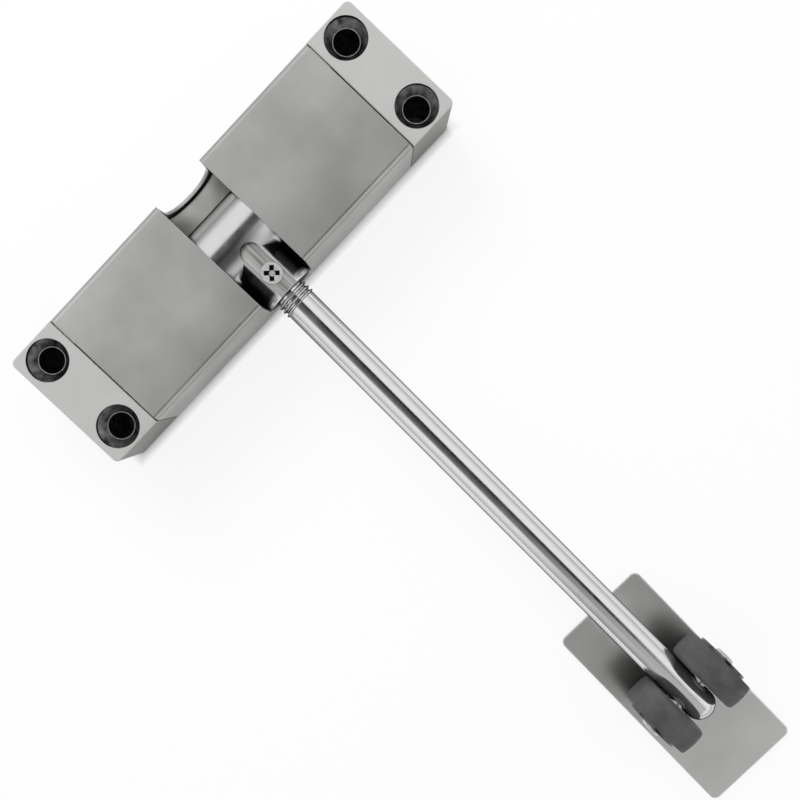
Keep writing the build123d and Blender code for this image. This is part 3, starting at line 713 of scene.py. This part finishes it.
# %% [markdown]
# ### Moulded nylon
# The rollers are moulded in dark grey nylon. It is matt and cloudy in tone from the glass filler,
# whose fine grain of 0.4 mm is drawn as it is. The tread is scuffed in fine rings, the way that it
# runs: noise that is short along the axle and long across it gives those rings.

# %% Moulded nylon
NYLON_TONES = (linear("#3A3A3A"), linear("#565656"))
NYLON_ROUGH = (0.52, 0.72)
FLOW_SIZE = 8.0
FILLER_SIZE = 0.4
SCUFF_STREAK = (0.6, 18.0, 18.0)
SCUFF_SHARE = 0.4
SCUFF_DEPTH = 0.00005

nylon, tree, place = blank("moulded_grey_nylon")
flow = {"Vector": place, "Scale": per_mm(FLOW_SIZE), "Detail": 3.0}
flow = node(tree, "ShaderNodeTexNoise", flow).outputs["Fac"]
filler = {"Vector": place, "Scale": per_mm(FILLER_SIZE), "Detail": 2.0}
filler = node(tree, "ShaderNodeTexNoise", filler).outputs["Fac"]
scuffs = streaks(tree, place, SCUFF_STREAK, detail=3.0)
cloudy = node(tree, "ShaderNodeMapRange", {"Value": flow, **DRAWN_OUT}).outputs[0]
tint = {"Factor": cloudy, COLOUR_A: NYLON_TONES[0], COLOUR_B: NYLON_TONES[1]}
tone = node(tree, "ShaderNodeMix", tint, data_type="RGBA").outputs[COLOUR_OUT]
limits = {"Value": scuffs, **DRAWN_OUT, "To Min": NYLON_ROUGH[0], "To Max": NYLON_ROUGH[1]}
gloss = node(tree, "ShaderNodeMapRange", limits).outputs[0]
relief = {0: SCUFF_SHARE, VALUE_A: filler, VALUE_B: scuffs}
relief = node(tree, "ShaderNodeMix", relief).outputs[0]
bump = {"Height": relief, "Strength": 0.3, "Distance": SCUFF_DEPTH}
bump = node(tree, "ShaderNodeBump", bump).outputs[0]
coat(tree, {"Base Color": tone, "Roughness": gloss, "IOR": 1.53, "Normal": bump})
print(nylon.name)

# %% [markdown]
# ### Foam tape
# The pad under the plate is dark grey foam tape, of which only the edge shows. Its cells are about
# 0.4 mm across, and a Voronoi pattern has such round cells with thin walls.

# %% Foam tape
FOAM_TONES = (linear("#585856"), linear("#3E3E3C"))
FOAM_ROUGH = 0.85
CELL_SIZE = 0.4
CELL_DEPTH = 0.0001

foam_tape, tree, place = blank("dark_foam_tape")
cells = {"Vector": place, "Scale": per_mm(CELL_SIZE)}
cells = node(tree, "ShaderNodeTexVoronoi", cells).outputs["Distance"]
tint = {"Factor": cells, COLOUR_A: FOAM_TONES[0], COLOUR_B: FOAM_TONES[1]}
tone = node(tree, "ShaderNodeMix", tint, data_type="RGBA").outputs[COLOUR_OUT]
bump = {"Height": cells, "Strength": 0.4, "Distance": CELL_DEPTH}
bump = node(tree, "ShaderNodeBump", bump).outputs[0]
coat(tree, {"Base Color": tone, "Roughness": FOAM_ROUGH, "Normal": bump})
print(foam_tape.name)

# %% [markdown]
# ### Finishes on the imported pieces
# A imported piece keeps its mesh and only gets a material, in the slot that it came with.

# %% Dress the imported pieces
dress = {
    "housing_casting": satin_casting,
    "cover_shell": cover_sheet,
    "wear_plate": plate_sheet,
    "arm_rod": rod_chrome,
    "arm_hub": hub_chrome,
    "arm_set_screw": screw_zinc,
    "axle_shaft": plated_steel,
    "axle_lock_screws": plated_steel,
    "collar_left": plated_steel,
    "collar_right": plated_steel,
    "collar_set_screws": spring_steel,
    "roller_axle": plated_steel,
    "roller_bush_left": plated_steel,
    "roller_bush_right": plated_steel,
    "outer_washer_left": washer_zinc,
    "outer_washer_right": washer_zinc,
    "spring_left": spring_steel,
    "spring_right": spring_steel,
    "hub_bush_left": bronze,
    "hub_bush_right": bronze,
    "roller_left": nylon,
    "roller_right": nylon,
    "adhesive_pad": foam_tape,
}
for name, packed in frame["nodes"].items():
    for material_slot in packed.material_slots:
        material_slot.material = dress[name]
print(f"dressed {len(dress)} of {len(frame['nodes'])} packed pieces")

# %% [markdown]
# ## Thread on the arm
# The rod screws into the hub's boss, and about three turns of its thread stay in sight before the
# plain chromed part starts. A thread is a ridge that winds round the rod: a small flat-topped
# triangle is spun about the rod's axis and moved along it a little at each step. The ridge is made
# standing on the Z axis, sinks into the rod at its end, and is then turned and moved onto the rod.
# The rod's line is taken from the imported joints, from the hub's axis to the middle of the rollers.

# %% Line of the rod
joints = {joint["name"]: joint for joint in frame["record"]["behaviour"]["joints"]}
hub_point = Vector(joints["arm_swing"]["pos_m"])
left_point = Vector(joints["left_roller_spin"]["pos_m"])
right_point = Vector(joints["right_roller_spin"]["pos_m"])
rod_line = ((left_point + right_point) / 2 - hub_point).normalized()
print("rod runs along", [round(part, 4) for part in rod_line])

# %% Ridge of the thread
THREAD_PITCH = 0.0015
THREAD_TURNS = 2.6
THREAD_CREST = 0.00545
THREAD_ROOT = 0.0045
FOOT_HALF = 0.46 * THREAD_PITCH
CREST_HALF = 0.08 * THREAD_PITCH
STEPS_PER_TURN = 48

steps = round(THREAD_TURNS * STEPS_PER_TURN)
bm = bmesh.new()
outline = [
    (THREAD_ROOT, 0.0, -FOOT_HALF),
    (THREAD_CREST, 0.0, -CREST_HALF),
    (THREAD_CREST, 0.0, CREST_HALF),
    (THREAD_ROOT, 0.0, FOOT_HALF),
]
corners = [bm.verts.new(corner) for corner in outline]
sides = [bm.edges.new(pair) for pair in zip(corners, corners[1:] + corners[:1])]
bmesh.ops.spin(
    bm,
    geom=corners + sides,
    cent=(0.0, 0.0, 0.0),
    axis=(0.0, 0.0, 1.0),
    dvec=(0.0, 0.0, THREAD_PITCH / STEPS_PER_TURN),
    angle=math.tau * steps / STEPS_PER_TURN,
    steps=steps,
)
print(f"ridge of {len(bm.faces)} faces")

# %% Run the ridge out and close its ends
FADE_TURNS = 0.4

top = max(vert.co.z for vert in bm.verts)
for vert in bm.verts:
    left = min(1.0, (top - vert.co.z) / (FADE_TURNS * THREAD_PITCH))
    radius = math.hypot(vert.co.x, vert.co.y)
    faded = THREAD_ROOT + (radius - THREAD_ROOT) * left
    vert.co.x *= faded / radius
    vert.co.y *= faded / radius
open_ends = [edge for edge in bm.edges if edge.is_boundary]
bmesh.ops.holes_fill(bm, edges=open_ends, sides=4)
bmesh.ops.recalc_face_normals(bm, faces=bm.faces)
print(f"closed {len(open_ends)} open edges")

# %% Stand the thread on the rod
THREAD_START = 0.0230
SHARP_ANGLE = math.radians(25.0)

turn = rod_line.to_track_quat("Z", "Y").to_matrix().to_4x4()
stand = Matrix.Translation(hub_point + rod_line * THREAD_START) @ turn
bmesh.ops.transform(bm, matrix=stand, verts=bm.verts)
thread_mesh = bpy.data.meshes.new("arm_thread")
bm.to_mesh(thread_mesh)
bm.free()
thread = bpy.data.objects.new("arm_thread", thread_mesh)
scene.collection.objects.link(thread)
thread_mesh.materials.append(rod_chrome)
thread_mesh.shade_smooth()
thread_mesh.set_sharp_from_angle(angle=SHARP_ANGLE)
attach(thread, "arm")
print(f"thread with {len(thread_mesh.polygons)} faces")

# %% [markdown]
# ## Rims of the screw holes
# Where the sunk cone meets the straight hole, the drill raised a thin burr, and screws have rubbed
# it bright in places. A small circle is spun round the hole's axis into a ring, and the ring is
# copied to the four holes. It stands on the edge of the cone, which is worked out down from the
# block's top. Its finish changes from bright to dull every millimetre or so, as a rubbed burr
# does.

# %% Rubbed burr
rubbed_burr, tree, place = blank("rubbed_zinc_burr")
wear = {"tones": ("#707070", "#FFFFFF"), "rough": 0.5, "mottle": 1.2, "depth": 0.00003}
coat(tree, worn_metal(tree, place, **wear))
print(rubbed_burr.name)

# %% One bright rim
RIM_RADIUS = 0.00396
RIM_WIRE = 0.00015
RIM_DROP = 0.00424
RIM_WIRE_SIDES = 10
RIM_STEPS = 64
MERGE_DISTANCE = 1e-7

bm = bmesh.new()
bmesh.ops.create_circle(bm, radius=RIM_WIRE, segments=RIM_WIRE_SIDES)
bmesh.ops.rotate(bm, verts=bm.verts, matrix=Matrix.Rotation(math.pi / 2, 3, "X"))
bmesh.ops.translate(bm, verts=bm.verts, vec=(RIM_RADIUS, 0.0, housing_high.z - RIM_DROP))
bmesh.ops.spin(
    bm,
    geom=bm.verts[:] + bm.edges[:],
    cent=(0.0, 0.0, 0.0),
    axis=(0.0, 0.0, 1.0),
    angle=math.tau,
    steps=RIM_STEPS,
    use_merge=True,
)
bmesh.ops.remove_doubles(bm, verts=bm.verts, dist=MERGE_DISTANCE)
print(f"rim of {len(bm.faces)} faces")

# %% Rims on all four holes
first = bm.verts[:] + bm.edges[:] + bm.faces[:]
bmesh.ops.translate(bm, verts=bm.verts, vec=HOLE_PLACE)
# The holes lie evenly about the middle, so a copy crosses twice the first hole's distance from it
for across_x, across_y in ((-2, 0), (0, -2), (-2, -2)):
    copied = bmesh.ops.duplicate(bm, geom=first)
    verts = [part for part in copied["geom"] if isinstance(part, bmesh.types.BMVert)]
    move = (across_x * HOLE_PLACE[0], across_y * HOLE_PLACE[1], 0.0)
    bmesh.ops.translate(bm, verts=verts, vec=move)
bmesh.ops.recalc_face_normals(bm, faces=bm.faces)
rim_mesh = bpy.data.meshes.new("hole_rims")
bm.to_mesh(rim_mesh)
bm.free()
rims = bpy.data.objects.new("hole_rims", rim_mesh)
scene.collection.objects.link(rims)
rim_mesh.materials.append(rubbed_burr)
rim_mesh.shade_smooth()
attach(rims, "housing")
print(f"rims with {len(rim_mesh.polygons)} faces")

# %% [markdown]
# ## A copy of each spring
# Each spring is held in its collar and hooked into the hub, so it winds as the arm swings. An
# imported piece moves as one solid, so a copy of each spring's mesh is made, its place is baked
# into its points, and the imported spring is hidden.

for side, sign in (("left", -1.0), ("right", 1.0)):
    packed = frame["nodes"][f"spring_{side}"]
    coil = bpy.data.objects.new(f"winding_spring_{side}", packed.data.copy())
    scene.collection.objects.link(coil)
    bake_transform(coil)
    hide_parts(f"spring_{side}")
